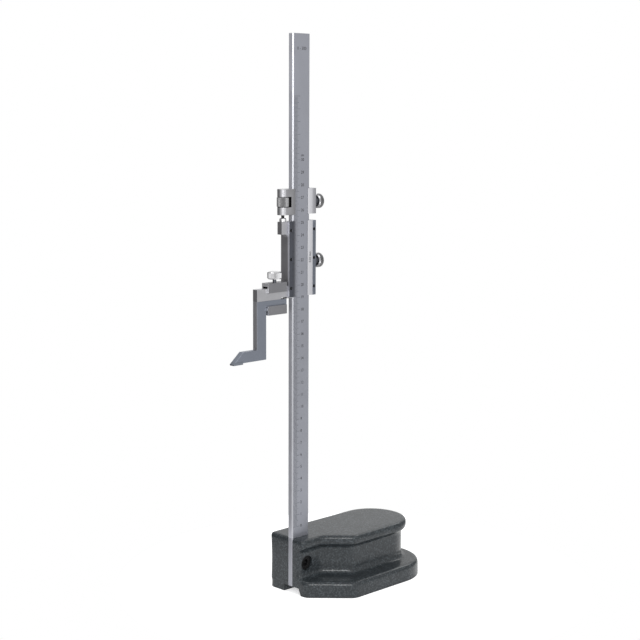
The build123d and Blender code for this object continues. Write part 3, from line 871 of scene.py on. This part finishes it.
# The walls of the carriage's window get near-black steel: painted shade.
machined("carriage_frame", "carriage", "ground_steel", 0.25,
         [("carriage_flat", right_flat), ("plate_bevel", right_bevel), ("dark_steel", inside_window)])
# Inside the clamp is near-black steel, painted shade; its left end is much lighter steel, painted light.
machined("scriber_clamp", "scriber_clamp", "clamp_steel", 0.25,
         [("clamp_end_painted_light", looks_left), ("dark_steel", inside_clamp)])
machined("scriber_clamp_shoe", "scriber_clamp", "dark_steel", 0.1)
machined("scriber", "scriber", "scriber_steel", 0.2, [("scriber_edge", looks_left)])
machined("scriber_tip", "scriber", "hard_tip", 0.08)
machined("beam_lock_screw", "base", "black_oxide", 0.1)
machined("beam_lock_pad", "base", "brass", 0.1)
for side in ("slider", "carriage"):
    machined(side + "_gib", side, "brass", 0.1)
    machined(side + "_clamp_pad", side, "brass", 0.1)

# %% [markdown]
# ## Turned and knurled pieces
# Thumb screws and nuts are turned on a lathe from round bar. Their rim is knurled, which
# means that a toothed wheel was pressed into it to give the fingers a grip, while the
# chamfers beside the rim stay smooth and bright. A thumb screw's grip is hollowed round
# its collar, and its face is sunk, with a centre drilled in it. Blender's spin operator
# is a lathe: the profile is drawn once and swept round its axis. Pushing every other
# column of the rim inwards afterwards gives the straight teeth.

# %% A lathe and a knurling tool
seam_gap = 0.0001         # millimetres between points that are one
rim_gap = 0.01            # a point this near the full radius is on the rim


def seal(bm):
    """Merge points that are one and turn the faces outwards."""
    bmesh.ops.remove_doubles(bm, verts=bm.verts[:], dist=seam_gap)
    bmesh.ops.recalc_face_normals(bm, faces=bm.faces[:])


def lathe(profile, steps, closed=False):
    """Spin a profile of (along, radius) points round Z."""
    bm = bmesh.new()
    verts = [bm.verts.new((radius, 0, along)) for along, radius in profile]
    pairs = list(zip(verts, verts[1:]))
    if closed:
        pairs.append((verts[-1], verts[0]))
    edges = [bm.edges.new(pair) for pair in pairs]
    bmesh.ops.spin(
        bm, geom=verts + edges, cent=(0, 0, 0), axis=(0, 0, 1), angle=math.tau, steps=steps, use_merge=True,
    )
    seal(bm)
    return bm


def knurl(bm, radius, steps, depth):
    """Push every other column of the rim inwards."""
    for vert in bm.verts:
        reach = vert.co.xy.length
        column = round(math.atan2(vert.co.y, vert.co.x) / math.tau * steps)
        if abs(reach - radius) < rim_gap and column % 2:
            vert.co.xy *= (radius - depth) / radius


def upright(node):
    """The matrix that stands a piece turned about Z in its node's place."""
    low, high = box_mm(node)
    middle = (low + high) / 2
    return to_frame @ Matrix.Translation((middle.x, middle.y, low.z))


# %% Thumb screws
grip_length = 4.9
collar_length = 3.35      # the collar stands between the shank and the grip
shank_radius = 1.75
collar_radius = 3.6
tip_chamfer = 0.3
collar_chamfer = 0.2
dish_depth = 0.35         # a hollow round the collar, in the grip's back
dish_floor = 4.1
dish_rim = 4.5
back_width = 1.1          # the grip's chamfers, across and along
back_length = 1.0
front_chamfer = 0.7
face_depth = 0.25         # the sunk middle of the grip's face
face_floor = 3.6
face_rim = 3.9
centre_depth = 0.6
centre_radius = 0.7
thumb_steps = 96
thumb_tooth = 0.35
back_reach = 0.5          # the shaded back reaches this far past the grip's start


def thumb_screw(node, body, rim_finish):
    """Knurled thumb screw along X: tip, collar, dished back, smooth chamfers and knurled rim."""
    low, high = box_mm(node)
    radius = (high.z - low.z) / 2
    end = high.x - low.x
    grip = end - grip_length
    collar = grip - collar_length
    profile = [
        (0, 0), (0, shank_radius - tip_chamfer), (tip_chamfer, shank_radius), (collar, shank_radius),
        (collar, collar_radius - collar_chamfer), (collar + collar_chamfer, collar_radius),
        (grip + dish_depth, collar_radius), (grip + dish_depth, dish_floor), (grip, dish_rim),
        (grip, radius - back_width), (grip + back_length, radius), (end - front_chamfer, radius),
        (end, radius - front_chamfer), (end, face_rim), (end - face_depth, face_floor),
        (end - face_depth, centre_radius), (end - centre_depth, 0),
    ]
    bm = lathe(profile, thumb_steps)
    knurl(bm, radius, thumb_steps, thumb_tooth)
    middle = (low + high) / 2
    place = Matrix.Translation((low.x, middle.y, middle.z)) @ Matrix.Rotation(math.radians(90), 4, "Y")
    piece = settle(bm, node + "_finished", body, rim_finish, matrix=to_frame @ place)
    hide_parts(node)
    refinish(piece, [
        ("shadow_steel", lambda normal, spot: spot.x < low.x + grip + back_reach and normal.x < 0.9),
        ("chamfer_steel", lambda normal, spot: 0.3 < abs(normal.x) < 0.9 and spot.x > low.x + grip),
    ])


thumb_screw("carriage_clamp_knob", "carriage_knob", "knurled_steel")
thumb_screw("slider_clamp_knob", "slider_knob", "knurled_steel")

# %% Fine-adjust nut
nut_steps = 72
nut_tooth = 0.3
nut_chamfer = 0.65
nut_bore = 1.33


def knurled_nut(node, body, finish):
    """Knurled nut about Z with chamfered rims and a hole."""
    low, high = box_mm(node)
    radius = (high.x - low.x) / 2
    height = high.z - low.z
    profile = [
        (0, nut_bore), (0, radius - nut_chamfer), (nut_chamfer, radius), (height - nut_chamfer, radius),
        (height, radius - nut_chamfer), (height, nut_bore),
    ]
    bm = lathe(profile, nut_steps, closed=True)
    knurl(bm, radius, nut_steps, nut_tooth)
    piece = settle(bm, node + "_finished", body, finish, matrix=upright(node))
    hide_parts(node)


knurled_nut("feed_nut", "feed_nut", "knurled_steel")

# %% Scriber clamp screw
clamp_grip = 5.9
clamp_shank = 1.5
grip_chamfer = 0.8
crown_start = 0.9         # below the top, where the grip begins to round off
crown_end = 0.2
clamp_steps = 80
clamp_tooth = 0.3
low, high = box_mm("scriber_clamp_screw")
radius = (high.x - low.x) / 2
height = high.z - low.z
knob_foot = height - clamp_grip
profile = [
    (0, 0), (0, clamp_shank - tip_chamfer), (tip_chamfer, clamp_shank), (knob_foot, clamp_shank),
    (knob_foot, radius - grip_chamfer), (knob_foot + grip_chamfer, radius), (height - crown_start, radius),
    (height - crown_end, radius - grip_chamfer), (height, radius - 2 * grip_chamfer), (height, 0),
]
bm = lathe(profile, clamp_steps)
knurl(bm, radius, clamp_steps, clamp_tooth)
screw = settle(bm, "scriber_clamp_screw_finished", "scriber_knob", "bright_steel",
               matrix=upright("scriber_clamp_screw"))
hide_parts("scriber_clamp_screw")
refinish(screw, [("shadow_steel", lambda normal, spot: spot.z < low.z + knob_foot)])

# %% Lock nut of the feed screw
lock_bore = 1.25
lock_chamfer = 0.2
crown = [(0.8, 0), (0.35, 0.2), (0.1, 0.5), (0, 0.9)]    # below the top and in from the side
low, high = box_mm("feed_lock_nut")
radius = (high.x - low.x) / 2
height = high.z - low.z
profile = [(0, lock_bore), (0, radius - lock_chamfer), (lock_chamfer, radius)]
profile += [(height - drop, radius - inset) for drop, inset in crown]
profile += [(height, lock_bore)]
bm = lathe(profile, 48, closed=True)
nut = settle(bm, "feed_lock_nut_finished", "slider", "bright_steel",
             matrix=upright("feed_lock_nut"))
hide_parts("feed_lock_nut")

# %% [markdown]
# ## Graduations
# The scale and the vernier are divided with fine engraved lines filled with black paint.
# The scale has a line for each millimetre, longer ones at 5 and 10. The vernier has 50
# divisions on 49 mm, so each is 0.02 mm short of a millimetre, and the line that meets
# one on the scale gives the hundredths. A filled line is level with the steel, but two
# faces in one place would flicker, so each is a strip of paint two hundredths of a
# millimetre proud.

# %% Lines on the scale
paint_rise = 0.02         # how far the paint stands proud of the steel
line_width = 0.22
scale_zero = 55.9         # height of the scale's zero above the datum face
scale_top = 350
line_start = 1.0          # gap between the beam's edge and the lines
ten_end = 8.0
five_end = 6.5
one_end = 5.2


def strip(bm, spot, along, across, length, width):
    """A flat strip of paint from a spot, along one direction, as a thin closed block."""
    along, across = Vector(along).normalized(), Vector(across).normalized()
    out = along.cross(across)
    turn = Matrix((along, across, out)).transposed().to_4x4()
    middle = Vector(spot) + along * length / 2
    shape = Matrix.Diagonal((length, width, 2 * paint_rise, 1))
    bmesh.ops.create_cube(bm, size=1, matrix=Matrix.Translation(middle) @ turn @ shape)


def line_reach(count, ten, five, one):
    """How far a line reaches: the longest at tens, the next at fives."""
    if count % 10 == 0:
        return ten
    return five if count % 5 == 0 else one


bm = bmesh.new()
for mark in range(scale_top + 1):
    length = line_reach(mark, ten_end, five_end, one_end) - line_start
    strip(bm, (line_start, 0, scale_zero + mark), (1, 0, 0), (0, 0, 1), length, line_width)
settle(bm, "scale_lines", "base", "scale_black")

# %% Numbers on the scale
capital_share = 0.69      # a capital's height as a share of the type size


def lettering(bm, words, height, place, align="LEFT", bold=0.02):
    """Raised letters, added to a bmesh: text is made a mesh before it is placed."""
    text = bpy.data.curves.new("lettering", "FONT")
    text.body = words
    text.size = height / capital_share
    text.align_x = align
    text.align_y = "CENTER"
    text.resolution_u = 3
    text.extrude = paint_rise
    text.offset = bold * height
    holder = bpy.data.objects.new("lettering", text)
    mesh = bpy.data.meshes.new_from_object(holder)
    bpy.data.objects.remove(holder)
    mesh.transform(place)
    bm.from_mesh(mesh)


front_face = Matrix.Rotation(math.radians(90), 4, "X")
number_left = 8.9
number_height = 2.3
top_number = 30
unit_rise = 3.6           # the unit stands above the last number
unit_height = 1.9
range_place = (beam_box[1].x / 2 + 0.1, 0, 442.8)
range_height = 2.4
bm = bmesh.new()
for centimetre in range(top_number + 1):
    spot = Matrix.Translation((number_left, 0, scale_zero + 10 * centimetre))
    lettering(bm, str(centimetre), number_height, spot @ front_face)
unit_place = Matrix.Translation((number_left, 0, scale_zero + 10 * top_number + unit_rise))
lettering(bm, "cm", unit_height, unit_place @ front_face, bold=0.04)
lettering(bm, "0 - 300", range_height, Matrix.Translation(range_place) @ front_face, "CENTER", bold=0.01)
seal(bm)
settle(bm, "scale_numbers", "base", "scale_black")

# %% Lines and numbers on the vernier
divisions = 50
division = 49 / divisions
vernier_start = 7.1       # from the plate's foot to the vernier's zero
plate_flat = 4.9          # width of the vernier plate's flat front
plate_edge = 0.2          # thickness at the foot of each plate's bevel
slope_gap = 0.1           # between that foot and the lines
fine_width = 0.12
fine_ten = 2.9
fine_five = 2.3
fine_one = 1.6
digit_place = 3.9         # from the plate's left side
digit_height = 1.5
plate_low, plate_high = box_mm("vernier_plate")
bevel_top = Vector((plate_low.x + plate_flat, plate_low.y, 0))
bevel_foot = Vector((plate_high.x, plate_high.y - plate_edge, 0))
up_slope = (bevel_top - bevel_foot).normalized()
vernier_zero = plate_low.z + vernier_start
bm = bmesh.new()
for mark in range(divisions + 1):
    length = line_reach(mark, fine_ten, fine_five, fine_one)
    spot = bevel_foot + up_slope * slope_gap + Vector((0, 0, vernier_zero + mark * division))
    strip(bm, spot, up_slope, (0, 0, 1), length, fine_width)
settle(bm, "vernier_lines", "slider", "scale_black")

bm = bmesh.new()
for digit in range(11):
    spot = Vector((plate_low.x + digit_place, plate_low.y, vernier_zero + digit * 5 * division))
    lettering(bm, str(digit % 10), digit_height, Matrix.Translation(spot) @ front_face, "CENTER")
seal(bm)
settle(bm, "vernier_numbers", "slider", "scale_black")

# %% Division mark on the cover plate
cover_flat = 3.6          # width of the cover plate's flat front
mark_middle = 278.0       # height of the mark's middle above the datum face
mark_height = 1.7
cover_low, cover_high = box_mm("cover_plate")
slope_foot = Vector((cover_low.x, cover_high.y - plate_edge, 0))
slope_top = Vector((cover_high.x - cover_flat, cover_low.y, 0))
right_slope = (slope_top - slope_foot).normalized()
outward = Vector((right_slope.y, -right_slope.x, 0))
turn = Matrix((Vector((0, 0, 1)), -right_slope, outward)).transposed().to_4x4()
spot = (slope_foot + slope_top) / 2 + Vector((0, 0, mark_middle))
bm = bmesh.new()
lettering(bm, "0.02 mm", mark_height, Matrix.Translation(spot) @ turn, "CENTER")
seal(bm)
settle(bm, "division_mark", "slider", "scale_black")
